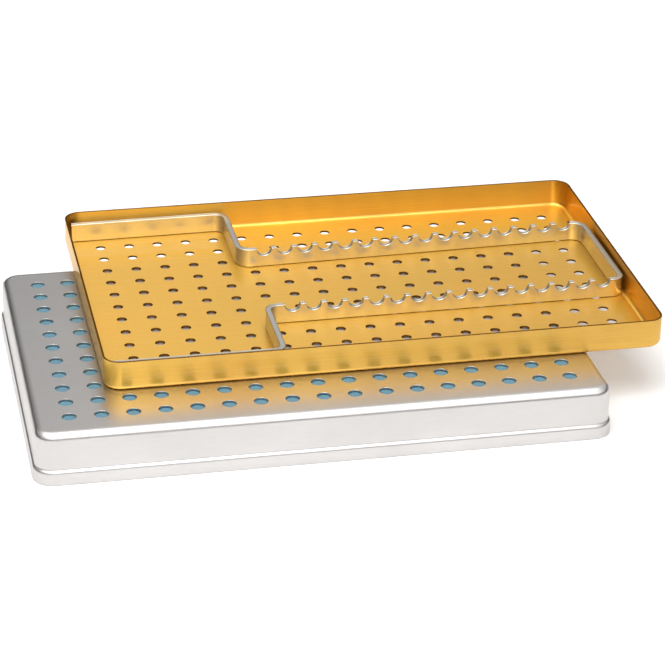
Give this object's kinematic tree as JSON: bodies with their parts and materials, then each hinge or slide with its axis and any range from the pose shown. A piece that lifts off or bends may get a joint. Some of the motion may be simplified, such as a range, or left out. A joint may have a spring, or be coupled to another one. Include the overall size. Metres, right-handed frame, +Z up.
{
  "type": "perforated instrument tray with rack and lid",
  "caption": "Shallow perforated sterilisation tray with a bent, notched instrument rack, standing on its deeper perforated lid.",
  "frame": {"origin": "middle of the whole set's outline, on the surface that the lid's rim stands on", "axes": "+X along the long side to the right, +Y away from the front, +Z up out of the tray"},
  "size_m": [0.3234, 0.223, 0.0425],
  "materials": {
    "tray_sheet": "brushed, gold anodised",
    "rack_strip": "bright rolled",
    "lid_sheet": "satin, clear anodised",
    "liner": "crepe nonwoven"
  },
  "bodies": {
    "lid": {"tray_lid": "lid_sheet", "lid_liner": "liner"},
    "tray": {"instrument_tray": "tray_sheet"},
    "rack": {"instrument_rack": "rack_strip"}
  },
  "joints": [
    {"name": "tray_lift", "type": "slide", "parent": "lid", "child": "tray", "axis": [0, 0, 1], "range_m": [0, 0.06]},
    {"name": "rack_lift", "type": "slide", "parent": "tray", "child": "rack", "axis": [0, 0, 1], "range_m": [0, 0.04]}
  ]
}
